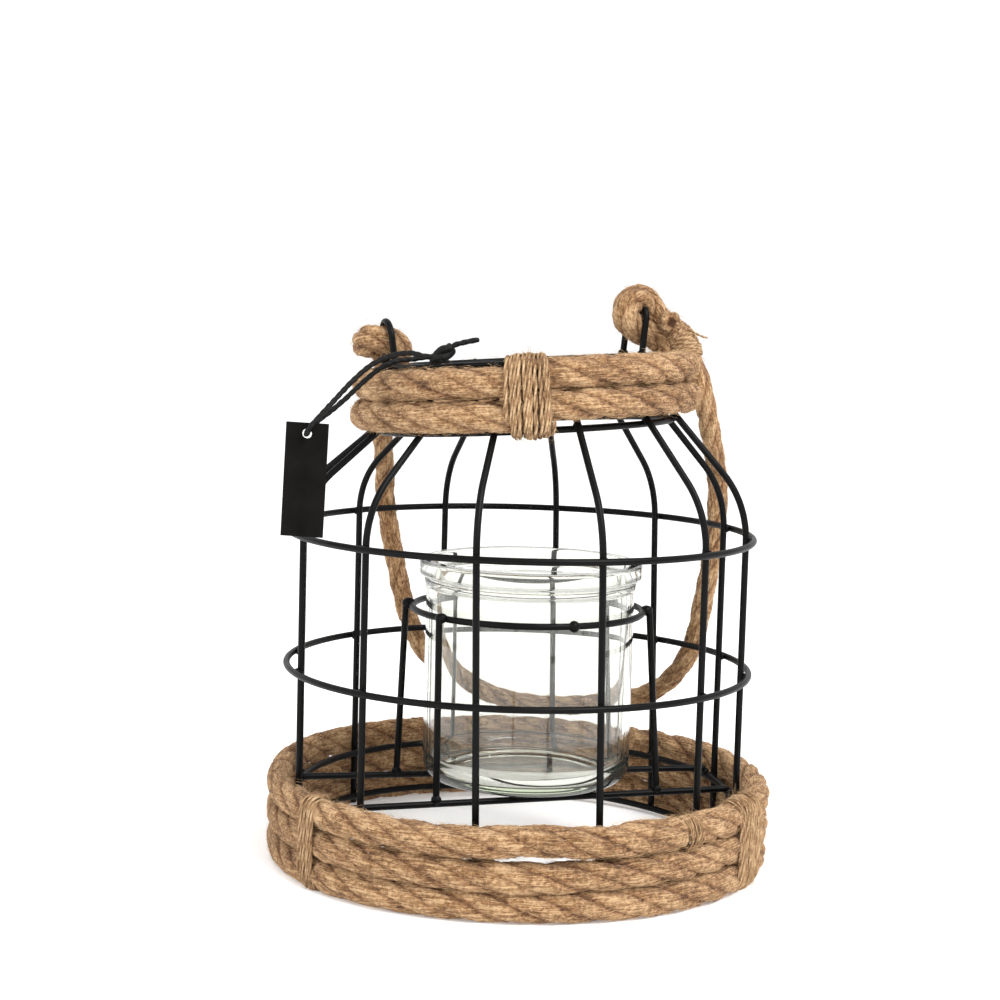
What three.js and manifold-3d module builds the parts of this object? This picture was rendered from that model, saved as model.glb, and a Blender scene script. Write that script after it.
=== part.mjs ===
// Hanging candle lantern: a domed cage of painted steel wire, wound with laid jute rope round its
// foot and its collar, with a lift-out glass jar in a wire holder, a rope carrying handle on two
// wire eyes and a small hang tag on a waxed cord.
//
// Millimetres, +Z up. The origin is on the floor, on the cage's vertical axis. Angles run round the
// axis in degrees: 0 is the front (-Y), 90 is the right (+X), 180 is the back (+Y).
import * as THREE from 'three';
import { mergeVertices } from 'three/addons/utils/BufferGeometryUtils.js';
import Module from 'manifold-3d';

const wasm = await Module();
wasm.setup();

// ---------------------------------------------------------------- driving dimensions
const WIRE = 3.0; // diameter of every steel wire
const GAP = 0.3; // air left between pieces that touch on the real object
const WIRE_R = WIRE / 2;
const WIRE_SIDES = 6;
const CORD_SIDES = 8; // of the handle rope and the tag's cord
const LARGE_RING_STEPS = 40;
const SMALL_RING_STEPS = 32;

const RIB_COUNT = 12;
const RIB_FIRST = -10; // angle of the first rib
// Some ribs stand a little askew: by their number, degrees turned at the foot and at the top.
const RIB_SKEW = {
  0: [1.25, -1.75],
  1: [0.6, -2],
  5: [-2.9, 0.6],
  6: [-2.2, 0.6],
  7: [1.4, 1.4],
};
const RIB_R = 101.2; // ribs' centre line in the cage's straight part
const RIB_FOOT_Z = 3.0;
const HOOP_UPPER_Z = 146.5;
const HOOP_LOWER_Z = 85.8;
const HOOP_R = RIB_R + WIRE + GAP; // hoops are welded outside the ribs
const BASE_RING_R = RIB_R - WIRE - GAP; // base rings are welded inside the ribs
const BASE_RING_UPPER_Z = 28.5;
const BASE_RING_LOWER_Z = 5.0;
const BASE_RING_LOWER_TILT = 1.7; // degrees, its left side is the higher one

const DOME_R = 40; // bend of a rib over the upper hoop
const DOME_ANGLE = 45; // slope that the bend ends at
const NECK_R = 63.9; // ribs' centre line inside the collar
const NECK_BEND_R = 8;
const NECK_TOP_Z = 223.5;
const COLLAR_TILT_X = -0.025; // the collar sits askew on the cage, in radians
const COLLAR_TILT_Y = -0.07;
const COLLAR_PIVOT_Z = 209;
const TOP_RING_R = NECK_R - WIRE - GAP;
const TOP_RING_Z = 223.0;
const COLLAR_RING_R = 64.8; // a second ring lies in the crook where the ribs turn upright
const COLLAR_RING_Z = 194.8;

const ROPE_D = 12.6; // laid rope round the foot and the collar
const ROPE_PITCH = 12.9; // from one turn to the next
const ROPE_SIDES = 8;
const ROPE_STEPS = 40; // round a turn
const ROPE_END_GAP = 1.2; // between a turn's two cut ends
const BASE_ROPE_R = 109.4; // centre line of the rope turns round the foot
const BASE_ROPE_TURNS = ['base_rope_lower', 'base_rope_middle', 'base_rope_upper'];
const BASE_ROPE_SEAMS = [61, 61, 40]; // where each turn's ends meet, under a lashing
const COLLAR_ROPE_R = 72;
const COLLAR_ROPE_FIRST_Z = 205.2;
const COLLAR_ROPE_RISE = 1.2; // a turn starts this much high and ends this much low
const COLLAR_ROPE_SEAM = 1;
const COLLAR_ROPE_TURNS = ['collar_rope_lower', 'collar_rope_upper'];

const TWINE = 1.2; // thickness of a lashing of jute twine
const BASE_LASHINGS = {
  base_lashing_left: [-53, -46],
  base_lashing_seam: [37.5, 43],
  base_lashing_right: [56, 66],
};
const UPPER_TURN_LASHING = 'base_lashing_seam'; // goes round the upper turn alone
const COLLAR_LASHING = [-6.4, 7.8];
const LASHING_CORNER = 5;
const BITE = TWINE + GAP; // how deep a lashing round the foot bites into the rope
const BITE_EDGE = 0.9; // degrees of rope thinned beside a lashing
const EASE = 0.3; // half the angle over which the rope swells to its full size again

const JAR = new THREE.Vector3(5, 0, 33.7); // centre of the jar's underside
const JAR_R = 47.15;
const JAR_H = 99.9;
const JAR_WALL = 3.0;
const JAR_BASE = 5.0;
const JAR_RIM_R = 50.5;
const JAR_SHOULDER_R = JAR_R + 1.6; // the step below the rim
const JAR_SHOULDER = { foot: 11.5, bottom: 9.8, top: 6.8 }; // heights below the jar's top
const JAR_RIM = { bottom: 5.6, top: 1.2, round: 1.4 };
const JAR_FOOT = [[9, 0], [4, 1.4], [1.2, 4.6], [0, 9]]; // rounding: in from the side, height
const JAR_WELL = [[0, 7], [2, 2.4], [7, 0]]; // the same inside, above the base

const SUPPORT_Z = BASE_RING_UPPER_Z + WIRE + GAP; // support wires lie on the upper base ring
const HOLDER = new THREE.Vector3(3.9, 0, 111.5);
const HOLDER_R = 52;
// Two wires cross the base: a point each passes through, and its direction in degrees.
const SUPPORTS = {
  front_support_wire: { through: new THREE.Vector2(11.1, -33.2), slope: 18.5 },
  rear_support_wire: { through: new THREE.Vector2(-3.4, 15.9), slope: 12.2 },
};
// Each upright: its angle on the holder ring, how far it stands above the ring, and its foot's x.
const UPRIGHTS = {
  holder_upright_left: { angle: -93, above: 0.6, wire: 'rear_support_wire', x: -54 },
  holder_upright_front: { angle: -44.6, above: 1.5, wire: 'front_support_wire', x: -34 },
  holder_upright_right: { angle: 90, above: 0.8, wire: 'front_support_wire', x: 64 },
  holder_upright_rear: { angle: 133, above: 1.5, wire: 'rear_support_wire', x: 48.5 },
};

const EYE_HALF = 7; // half the width of a wire eye, centre to centre
const EYE_LEAN = 2.6; // how far an eye's top leans outwards
const EYE_STEPS = 8; // round the arch
const EYES = {
  left: { angle: -90, top: 239.3, twist: 20 },
  right: { angle: 125, top: 250, twist: 0 },
}; // twist: how far the eye is turned out of the ring's own direction

const HANDLE_D = 9.8;
const LOOP_D = 9.2; // the rope is drawn tighter where it loops round an eye
const LOOP_R = 8.0; // centre line of that loop
const LOOP_SIDES = 8;
const LOOP_STEPS = 16;
const LOOP_BELOW_EYE = { left: 9.6, right: 1.4 }; // from the top of an eye to its loop's centre
const LEFT_LOOP_SHIFT = new THREE.Vector3(-1, 0, 0);
const LEFT_LOOP_AXIS = new THREE.Vector3(0.1, 0.28, 1);
const SEIZING_R = 6.4;
const SEIZING_START_R = 4.6;
const SEIZING_GAP = 0.6; // from a loop to its seizing
const HANDLE_FINE_STEPS = 240; // used to find where the free rope starts and ends
const HANDLE_STEPS = 50;
// The handle rope's route, from the left seizing round the back of the cage to the right one.
const HANDLE_ROUTE = [
  [-69, 27.5, 231], [-67.5, 38, 229.5], [-66.5, 49, 223], [-66.5, 56.5, 211.5], [-67, 62, 199],
  [-67.2, 68, 187], [-67.3, 76.5, 175.5], [-67, 88, 162], [-66.4, 90.5, 149], [-64, 92.3, 134], [-61, 94.3, 119],
  [-57.8, 96.3, 104], [-53.8, 98.8, 89], [-47.5, 102, 75], [-37, 106, 63], [-22, 110, 53.5],
  [-3, 112.4, 47], [17, 111.5, 45.2], [38, 106, 46.8], [57, 96.6, 51.5], [71.5, 86.5, 60],
  [81, 77.6, 72.3], [87, 71, 88], [90, 67.3, 107], [92.8, 63.2, 128], [94.4, 60.6, 147],
  [94.1, 59, 164], [91.6, 55, 179], [88.2, 48.5, 192], [85.2, 42, 204], [81.8, 40.5, 216],
  [76.8, 43, 226], [71, 44.5, 232.5],
].map((p) => new THREE.Vector3(...p));

const TAG = { width: 17.8, height: 48, thick: 1.8, hole: 2.1, drop: 4.5 }; // drop: hole to the top
const TAG_HOLE = new THREE.Vector3(-91.4, -66, 193);
const TAG_LEAN = -2; // degrees, the foot of the tag swung a little outwards
const TAG_CORD_D = 2.4;
// The waxed cord's route: out of the knot, down through the tag's hole, back up beside itself,
// then under the top ring and up into the knot again.
const TAG_CORD_ROUTE = [
  [-43.6, -57, 226.4], [-50, -54, 227.4], [-58, -52, 225.8],
  [-66, -53.5, 221.8], [-73.5, -57, 215], [-80.5, -63, 207], [-86.5, -68, 200],
  [-90.2, -69.7, 195.6], [-91.4, -69.6, 193.2], [-91.4, -66, 193], [-91.4, -62.9, 193.2],
  [-90, -60.5, 195.4], [-86.5, -58, 198.8], [-81, -55, 203.2], [-75, -52, 208.8],
  [-69, -49.5, 214.8], [-62.8, -47.5, 220], [-56, -45.3, 223.4], [-49, -43.4, 224.4],
  [-42, -41.6, 225.4], [-35.6, -43.6, 224.6], [-32.1, -47.3, 221.8], [-33.6, -50.2, 218.3],
  [-35.7, -53.1, 220.4], [-36.4, -53.7, 221.8],
].map((p) => new THREE.Vector3(...p));
const KNOT = new THREE.Vector3(-36, -57, 227.2);
const KNOT_SIZE = new THREE.Vector3(6.4, 3.2, 3.2);
const KNOT_LEAN = -0.65;
const KNOT_TAIL = [[-34, -57, 229.4], [-31, -57.5, 231.2], [-26, -58, 232.8], [-20.5, -58.5, 234]];

// ---------------------------------------------------------------- materials
const finish = (color, roughness, metalness = 0) =>
  new THREE.MeshStandardMaterial({ color, roughness, metalness });
const STEEL = finish(0x17171a, 0.45, 0.6);
const JUTE = finish(0xb58a5c, 0.95);
const TWINE_JUTE = finish(0xc69d6e, 0.95);
const GLASS = finish(0xdfe6df, 0.05);
GLASS.transparent = true;
GLASS.opacity = 0.35;
const WAXED = finish(0x141414, 0.6);
const CARD = finish(0x161514, 0.85);

// ---------------------------------------------------------------- geometry helpers
const rad = THREE.MathUtils.degToRad;
// corner radius of an octagon whose area is that of the round rope
const ROPE_FLAT = (ROPE_D / 2) * Math.sqrt(Math.PI / (ROPE_SIDES * Math.sin(Math.PI / 4) / 2));
const ROPE_HALF = ROPE_FLAT * Math.cos(Math.PI / ROPE_SIDES);

function polar(angle, r, z) {
  return new THREE.Vector3(r * Math.sin(rad(angle)), -r * Math.cos(rad(angle)), z);
}

// A closed mesh with shared vertices whose faces point out.
function solid(geometry) {
  let g = geometry.clone();
  g.deleteAttribute('normal');
  g.deleteAttribute('uv');
  g = mergeVertices(g, 1e-4);
  const index = g.index.array;
  const pos = g.attributes.position;
  const [a, b, c] = [new THREE.Vector3(), new THREE.Vector3(), new THREE.Vector3()];
  const kept = [];
  let volume = 0;
  for (let i = 0; i < index.length; i += 3) {
    const tri = [index[i], index[i + 1], index[i + 2]];
    if (tri[0] === tri[1] || tri[1] === tri[2] || tri[0] === tri[2]) continue;
    kept.push(...tri);
    a.fromBufferAttribute(pos, tri[0]);
    b.fromBufferAttribute(pos, tri[1]);
    c.fromBufferAttribute(pos, tri[2]);
    volume += a.dot(b.cross(c));
  }
  if (volume < 0) {
    for (let i = 0; i < kept.length; i += 3) [kept[i], kept[i + 1]] = [kept[i + 1], kept[i]];
  }
  g.setIndex(kept);
  return g;
}

// A path whose spaced points are exactly the given points.
class KnotPath extends THREE.Curve {
  constructor(points) {
    super();
    this.points = points;
  }

  getPoint(t) {
    const at = t * (this.points.length - 1);
    const i = Math.min(Math.floor(at + 1e-9), this.points.length - 2);
    return this.points[i].clone().lerp(this.points[i + 1], at - i);
  }

  getPointAt(u) {
    return this.getPoint(u);
  }

  getTangentAt(u) {
    const last = this.points.length - 1;
    const i = Math.round(u * last);
    const before = this.points[Math.max(i - 1, 0)];
    const after = this.points[Math.min(i + 1, last)];
    const here = this.points[i];
    const arrive = here.clone().sub(before).normalize();
    const leave = after.clone().sub(here).normalize();
    return arrive.add(leave).normalize();
  }
}

function polygon(radius, sides) {
  const turn = (2 * Math.PI) / sides;
  return new THREE.Shape(Array.from({ length: sides }, (_, i) =>
    new THREE.Vector2(radius * Math.cos(i * turn), radius * Math.sin(i * turn))));
}

function tube(points, radius, sides = WIRE_SIDES) {
  const extrudePath = new KnotPath(points);
  const options = { steps: points.length - 1, extrudePath, bevelEnabled: false };
  return solid(new THREE.ExtrudeGeometry(polygon(radius, sides), options));
}

// The same number of evenly spaced points along a smooth curve through the given ones.
function smooth(points, count) {
  return new THREE.CatmullRomCurve3(points, false, 'centripetal').getSpacedPoints(count);
}

function wireRing(radius, segments) {
  return solid(new THREE.TorusGeometry(radius, WIRE_R, WIRE_SIDES, segments));
}

// A turn of rope with two cut ends that meet at the seam angle.
// Its section is an octagon of a round rope's area, standing on a flat. Where a lashing bites
// into it the rope is thinner, which "bites" lists as ranges of angle.
function ropeTurn({ radius, seam, height, bites = [] }) {
  const trim = (ROPE_END_GAP / 2 / radius) * THREE.MathUtils.RAD2DEG;
  const angles = Array.from({ length: ROPE_STEPS + 1 }, (_, i) =>
    seam + trim + (i / ROPE_STEPS) * (360 - 2 * trim));
  for (const edge of bites.flatMap(([from, to]) => [from - EASE, from + EASE, to - EASE, to + EASE])) {
    angles.push(seam + ((((edge - seam) % 360) + 360) % 360));
  }
  angles.sort((a, b) => a - b);
  const squeezed = (angle) => bites.some(([from, to]) => inRange(angle, from, to));
  const rings = angles.map((angle) => {
    const z = height((angle - seam) / 360);
    const size = ROPE_FLAT * (squeezed(angle) ? 1 - BITE / (ROPE_D / 2) : 1);
    return Array.from({ length: ROPE_SIDES }, (_, k) => {
      const turn = ((k + 0.5) / ROPE_SIDES) * 2 * Math.PI;
      return polar(angle, radius + size * Math.cos(turn), z + size * Math.sin(turn));
    });
  });
  return loft(rings);
}

function inRange(angle, from, to) {
  const past = (((angle - from) % 360) + 360) % 360;
  return past <= to - from;
}

// A closed skin over a row of sections, with flat ends.
function loft(rings) {
  const sides = rings[0].length;
  const index = [];
  for (let i = 0; i + 1 < rings.length; i += 1) {
    for (let k = 0; k < sides; k += 1) {
      const [a, b] = [i * sides + k, i * sides + ((k + 1) % sides)];
      index.push(a, b, a + sides, b, b + sides, a + sides);
    }
  }
  const last = (rings.length - 1) * sides;
  for (let k = 1; k + 1 < sides; k += 1) {
    index.push(0, k + 1, k, last, last + k, last + k + 1);
  }
  const g = new THREE.BufferGeometry().setFromPoints(rings.flat());
  g.setIndex(index);
  return solid(g);
}

// A lashing: a flat band of twine wound round everything between two radii and two heights.
function lashing({ range, inner, outer, bottom, top }) {
  const angle = (range[0] + range[1]) / 2;
  const width = rad(range[1] - range[0]) * outer;
  const box = (shape, inset) => {
    const [x0, x1, y0, y1] = [inner + inset, outer - inset, bottom + inset, top - inset];
    const r = LASHING_CORNER - inset;
    shape.moveTo(x0 + r, y0);
    shape.lineTo(x1 - r, y0);
    shape.quadraticCurveTo(x1, y0, x1, y0 + r);
    shape.lineTo(x1, y1 - r);
    shape.quadraticCurveTo(x1, y1, x1 - r, y1);
    shape.lineTo(x0 + r, y1);
    shape.quadraticCurveTo(x0, y1, x0, y1 - r);
    shape.lineTo(x0, y0 + r);
    shape.quadraticCurveTo(x0, y0, x0 + r, y0);
    return shape;
  };
  const shape = box(new THREE.Shape(), 0);
  shape.holes.push(box(new THREE.Path(), TWINE));
  const options = { depth: width, steps: 3, bevelEnabled: false, curveSegments: 3 };
  const g = new THREE.ExtrudeGeometry(shape, options);
  const pos = g.attributes.position;
  for (let i = 0; i < pos.count; i += 1) {
    const along = (pos.getZ(i) - width / 2) / outer;
    const p = polar(angle + along * THREE.MathUtils.RAD2DEG, pos.getX(i), pos.getY(i));
    pos.setXYZ(i, p.x, p.y, p.z);
  }
  return solid(g);
}

// A round, blunt-ended body along a line, fat in the middle like a seized rope end.
function spindle(from, to, radiusFrom, radiusTo) {
  const length = from.distanceTo(to);
  const profile = [new THREE.Vector2(0, 0), new THREE.Vector2(radiusFrom, 0)];
  const steps = 4;
  for (let i = 0; i <= steps; i += 1) {
    const turn = (i / steps) * (Math.PI / 2);
    const y = length + radiusTo * Math.sin(turn);
    profile.push(new THREE.Vector2(i === steps ? 0 : radiusTo * Math.cos(turn), y));
  }
  const g = new THREE.LatheGeometry(profile, 10);
  const up = new THREE.Vector3(0, 1, 0);
  const turn = new THREE.Quaternion().setFromUnitVectors(up, to.clone().sub(from).normalize());
  g.applyQuaternion(turn);
  g.translate(from.x, from.y, from.z);
  return solid(g);
}

function toManifold(geometry) {
  return new wasm.Manifold(new wasm.Mesh({
    numProp: 3,
    vertProperties: new Float32Array(geometry.attributes.position.array),
    triVerts: new Uint32Array(geometry.index.array),
  }));
}

function fromManifold(body) {
  const mesh = body.getMesh();
  const g = new THREE.BufferGeometry();
  g.setAttribute('position', new THREE.BufferAttribute(new Float32Array(mesh.vertProperties), 3));
  g.setIndex(new THREE.BufferAttribute(new Uint32Array(mesh.triVerts), 1));
  return g;
}

// ---------------------------------------------------------------- assembly
const lantern = new THREE.Group();
const collar = new THREE.Group();
collar.rotation.set(COLLAR_TILT_X, COLLAR_TILT_Y, 0);
collar.position.z = COLLAR_PIVOT_Z;
collar.updateMatrix();
lantern.add(collar);

function add(name, geometry, material, parent = lantern) {
  const mesh = new THREE.Mesh(geometry, material);
  mesh.name = name;
  parent.add(mesh);
  return mesh;
}

// Adds a piece that is drawn in the cage's own heights but sits askew with the collar.
function addToCollar(name, geometry, material) {
  geometry.translate(0, 0, -COLLAR_PIVOT_Z);
  return add(name, geometry, material, collar);
}

// Where a point of the collar comes to lie once the collar is askew.
function askew(point) {
  return point.clone().setZ(point.z - COLLAR_PIVOT_Z).applyMatrix4(collar.matrix);
}

function ribPoints(angle, [footTurn, topTurn] = [0, 0]) {
  const at = (r, z) => polar(angle + footTurn + ((topTurn - footTurn) * z) / NECK_TOP_Z, r, z);
  const bend = rad(DOME_ANGLE);
  const bendEndR = RIB_R - DOME_R * (1 - Math.cos(bend));
  const kneeZ = HOOP_UPPER_Z + DOME_R * Math.sin(bend) + (bendEndR - NECK_R) / Math.tan(bend);
  const stretch = (askew(at(NECK_R, kneeZ)).z - HOOP_UPPER_Z) / (kneeZ - HOOP_UPPER_Z);
  const points = [at(RIB_R, RIB_FOOT_Z), at(RIB_R, HOOP_UPPER_Z)];
  for (const share of [0.25, 0.5, 0.75, 1]) {
    const turn = bend * share;
    const r = RIB_R - DOME_R * (1 - Math.cos(turn));
    points.push(at(r, HOOP_UPPER_Z + DOME_R * Math.sin(turn) * stretch));
  }
  const tangent = NECK_BEND_R * Math.tan(bend / 2);
  for (const share of [0, 0.5, 1]) {
    const turn = bend * (1 - share);
    const r = NECK_R + NECK_BEND_R * (1 - Math.cos(turn));
    points.push(askew(at(r, kneeZ + tangent - NECK_BEND_R * Math.sin(turn))));
  }
  points.push(askew(at(NECK_R, NECK_TOP_Z)));
  return points;
}

function buildCage() {
  for (let i = 0; i < RIB_COUNT; i += 1) {
    const angle = RIB_FIRST + (360 / RIB_COUNT) * i;
    add(`rib_${String(i + 1).padStart(2, '0')}`, tube(ribPoints(angle, RIB_SKEW[i]), WIRE_R), STEEL);
  }
  const rings = [
    ['upper_hoop', HOOP_R, HOOP_UPPER_Z],
    ['lower_hoop', HOOP_R, HOOP_LOWER_Z],
    ['base_ring_upper', BASE_RING_R, BASE_RING_UPPER_Z],
    ['base_ring_lower', BASE_RING_R, BASE_RING_LOWER_Z],
  ];
  for (const [name, radius, z] of rings) {
    add(name, wireRing(radius, LARGE_RING_STEPS), STEEL).position.z = z;
  }
  lantern.getObjectByName('base_ring_lower').rotation.y = rad(BASE_RING_LOWER_TILT);
  const collarRings = [
    ['top_ring', TOP_RING_R, TOP_RING_Z],
    ['collar_ring', COLLAR_RING_R, COLLAR_RING_Z],
  ];
  for (const [name, radius, z] of collarRings) {
    addToCollar(name, wireRing(radius, SMALL_RING_STEPS).translate(0, 0, z), STEEL);
  }
}

// A wire eye: an upturned U that stands on the top ring, along it.
function eyePoints({ angle, top, twist }) {
  const along = polar(angle + 90 + twist, 1, 0);
  const archZ = top - EYE_HALF;
  const ringZ = askew(polar(angle, TOP_RING_R, TOP_RING_Z)).z;
  const footZ = ringZ + WIRE_R + 2 * GAP;
  const lean = (z) => (EYE_LEAN * (z - footZ)) / (top - footZ);
  const place = (side, z) => polar(angle, TOP_RING_R + lean(z), z).addScaledVector(along, side);
  const points = [place(-EYE_HALF, footZ)];
  for (let i = 0; i <= EYE_STEPS; i += 1) {
    const turn = (i / EYE_STEPS) * Math.PI;
    points.push(place(-EYE_HALF * Math.cos(turn), archZ + EYE_HALF * Math.sin(turn)));
  }
  points.push(place(EYE_HALF, footZ));
  return { points, along, place };
}

// A ring of rope about a centre, lying across the given normal.
function ropeLoop(centre, normal) {
  const g = new THREE.TorusGeometry(LOOP_R, LOOP_D / 2, LOOP_SIDES, LOOP_STEPS);
  const z = new THREE.Vector3(0, 0, 1);
  g.applyQuaternion(new THREE.Quaternion().setFromUnitVectors(z, normal.clone().normalize()));
  g.translate(centre.x, centre.y, centre.z);
  return solid(g);
}

function buildHandle() {
  const left = eyePoints(EYES.left);
  const right = eyePoints(EYES.right);
  add('handle_eye_left', tube(left.points, WIRE_R), STEEL);
  add('handle_eye_right', tube(right.points, WIRE_R), STEEL);

  // The left loop lies round the eye's rear leg, the right one stands round the eye's top.
  const leftLoop = left.place(-EYE_HALF, EYES.left.top - LOOP_BELOW_EYE.left).add(LEFT_LOOP_SHIFT);
  add('handle_loop_left', ropeLoop(leftLoop, LEFT_LOOP_AXIS), JUTE);
  const rightLoop = right.place(0, EYES.right.top - LOOP_BELOW_EYE.right);
  add('handle_loop_right', ropeLoop(rightLoop, right.along), JUTE);

  const clear = LOOP_R + LOOP_D / 2 + SEIZING_GAP;
  const first = HANDLE_ROUTE[0];
  const last = HANDLE_ROUTE[HANDLE_ROUTE.length - 1];
  for (const [name, centre, end] of [
    ['handle_seizing_left', leftLoop, first],
    ['handle_seizing_right', rightLoop, last],
  ]) {
    const from = centre.clone().lerp(end, clear / centre.distanceTo(end));
    add(name, spindle(from, end, SEIZING_START_R, SEIZING_R), TWINE_JUTE);
  }

  const start = SEIZING_R + GAP;
  const free = smooth(HANDLE_ROUTE, HANDLE_FINE_STEPS)
    .filter((p) => p.distanceTo(first) > start && p.distanceTo(last) > start);
  add('handle_rope', tube(smooth(free, HANDLE_STEPS), HANDLE_D / 2, CORD_SIDES), JUTE);
}

function buildBaseRope() {
  const bites = Object.values(BASE_LASHINGS).map(([a, b]) => [a - BITE_EDGE, b + BITE_EDGE]);
  BASE_ROPE_TURNS.forEach((name, turn) => {
    const z = ROPE_HALF + turn * ROPE_PITCH;
    const seam = BASE_ROPE_SEAMS[turn];
    add(name, ropeTurn({ radius: BASE_ROPE_R, seam, height: () => z, bites }), JUTE);
  });
  for (const [name, range] of Object.entries(BASE_LASHINGS)) {
    add(name, lashing({
      range,
      inner: BASE_ROPE_R - ROPE_HALF - GAP,
      outer: BASE_ROPE_R + ROPE_HALF + GAP,
      bottom: name === UPPER_TURN_LASHING ? 2 * ROPE_PITCH : 0,
      top: 2 * ROPE_HALF + 2 * ROPE_PITCH,
    }), TWINE_JUTE);
  }
}

function buildCollarRope() {
  COLLAR_ROPE_TURNS.forEach((name, turn) => {
    const mid = COLLAR_ROPE_FIRST_Z + turn * ROPE_PITCH;
    const height = (share) => mid + COLLAR_ROPE_RISE * (1 - 2 * share);
    const shape = { radius: COLLAR_ROPE_R, seam: COLLAR_ROPE_SEAM, height };
    addToCollar(name, ropeTurn(shape), JUTE);
  });
  const reach = ROPE_HALF + GAP + TWINE;
  addToCollar('collar_lashing', lashing({
    range: COLLAR_LASHING,
    inner: COLLAR_ROPE_R - reach,
    outer: COLLAR_ROPE_R + reach,
    bottom: COLLAR_ROPE_FIRST_Z - COLLAR_ROPE_RISE - reach,
    top: COLLAR_ROPE_FIRST_Z + ROPE_PITCH + COLLAR_ROPE_RISE + reach,
  }), TWINE_JUTE);
}

// Two wires cross the base under the jar; four uprights stand on them and carry the holder ring.
function buildHolder() {
  for (const [name, { through, slope }] of Object.entries(SUPPORTS)) {
    const along = new THREE.Vector2(Math.cos(rad(slope)), Math.sin(rad(slope)));
    const half = Math.sqrt(BASE_RING_R ** 2 - through.lengthSq() + through.dot(along) ** 2);
    const end = (side) => {
      const p = through.clone().addScaledVector(along, side * half - through.dot(along));
      return new THREE.Vector3(p.x, p.y, SUPPORT_Z);
    };
    add(name, tube([end(-1), end(1)], WIRE_R), STEEL);
  }
  add('holder_ring', wireRing(HOLDER_R, SMALL_RING_STEPS), STEEL).position.copy(HOLDER);
  for (const [name, { angle, above, wire, x }] of Object.entries(UPRIGHTS)) {
    const { through, slope } = SUPPORTS[wire];
    const y = through.y + (x - through.x) * Math.tan(rad(slope));
    const foot = new THREE.Vector3(x, y, SUPPORT_Z + WIRE_R + GAP);
    const head = polar(angle, HOLDER_R + WIRE + GAP, above).add(HOLDER);
    add(name, tube([foot, head], WIRE_R), STEEL);
  }
}

function buildJar() {
  const inner = JAR_R - JAR_WALL;
  const profile = [
    [0, 0],
    ...JAR_FOOT.map(([inset, z]) => [JAR_R - inset, z]),
    [JAR_R, JAR_H - JAR_SHOULDER.foot],
    [JAR_SHOULDER_R, JAR_H - JAR_SHOULDER.bottom],
    [JAR_SHOULDER_R, JAR_H - JAR_SHOULDER.top],
    [JAR_RIM_R, JAR_H - JAR_RIM.bottom],
    [JAR_RIM_R, JAR_H - JAR_RIM.top],
    [JAR_RIM_R - JAR_RIM.round, JAR_H],
    [inner + JAR_RIM.top, JAR_H],
    [inner, JAR_H - JAR_RIM.round],
    ...JAR_WELL.map(([inset, z]) => [inner - inset, JAR_BASE + z]),
    [0, JAR_BASE],
  ].map(([r, z]) => new THREE.Vector2(r, z));
  const g = solid(new THREE.LatheGeometry(profile, SMALL_RING_STEPS).rotateX(Math.PI / 2));
  add('glass_jar', g, GLASS).position.copy(JAR);
}

function buildTag() {
  const { width, height, thick, hole, drop } = TAG;
  const card = new THREE.Shape();
  card.moveTo(-width / 2, drop - height);
  card.lineTo(width / 2, drop - height);
  card.lineTo(width / 2, drop);
  card.lineTo(-width / 2, drop);
  card.closePath();
  const eyelet = new THREE.Path();
  eyelet.absarc(0, 0, hole, 0, 2 * Math.PI, true);
  card.holes.push(eyelet);
  const options = { depth: thick, bevelEnabled: false, curveSegments: 6 };
  const g = new THREE.ExtrudeGeometry(card, options).translate(0, 0, -thick / 2);
  const tag = add('hang_tag', solid(g), CARD);
  tag.position.copy(TAG_HOLE);
  tag.rotation.set(Math.PI / 2, 0, rad(TAG_LEAN), 'YXZ');

  add('tag_cord', tube(TAG_CORD_ROUTE, TAG_CORD_D / 2, CORD_SIDES), WAXED);

  const lump = new THREE.SphereGeometry(1, 10, 6).rotateX(Math.PI / 2);
  lump.scale(KNOT_SIZE.x, KNOT_SIZE.y, KNOT_SIZE.z);
  lump.rotateY(KNOT_LEAN);
  lump.translate(KNOT.x, KNOT.y, KNOT.z);
  const tail = tube(KNOT_TAIL.map((p) => new THREE.Vector3(...p)), TAG_CORD_D / 2, CORD_SIDES);
  const knot = toManifold(solid(lump)).add(toManifold(tail));
  add('tag_cord_knot', fromManifold(knot), WAXED);
}

buildCage();
buildHandle();
buildBaseRope();
buildCollarRope();
buildHolder();
buildJar();
buildTag();

export default lantern;
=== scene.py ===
import math

import bpy
import numpy as np
from mathutils import Matrix, Vector


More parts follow.
